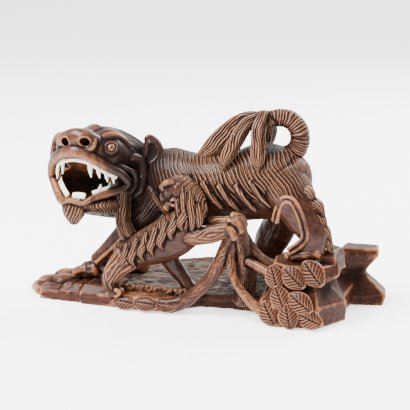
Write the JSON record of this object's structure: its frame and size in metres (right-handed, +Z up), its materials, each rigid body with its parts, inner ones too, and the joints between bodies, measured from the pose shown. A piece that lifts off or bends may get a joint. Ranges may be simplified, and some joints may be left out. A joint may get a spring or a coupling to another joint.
{
  "type": "carved lion ornament",
  "caption": "Carved hardwood lion striding over a leafy rock base with a cub climbing beneath it, open mouth with inlaid teeth and glass eyes.",
  "frame": {"origin": "centre of the bounding box seen from above, at the level of the base's flat foot", "axes": "+X along the base from the lion's head end to its tail end, -Y towards the side that the head and the cub show, +Z up"},
  "size_m": [0.253, 0.101, 0.1392],
  "materials": {
    "hardwood": "semi-gloss",
    "tooth_inlay": "satin",
    "eye_glass": "gloss"
  },
  "bodies": {
    "root": {"carved_wood": "hardwood", "upper_teeth": "tooth_inlay", "lower_near_teeth": "tooth_inlay", "lower_far_teeth": "tooth_inlay", "lower_front_teeth": "tooth_inlay", "eye_near": "eye_glass", "eye_far": "eye_glass", "cub_eye_near": "eye_glass", "cub_eye_far": "eye_glass"}
  },
  "joints": []
}
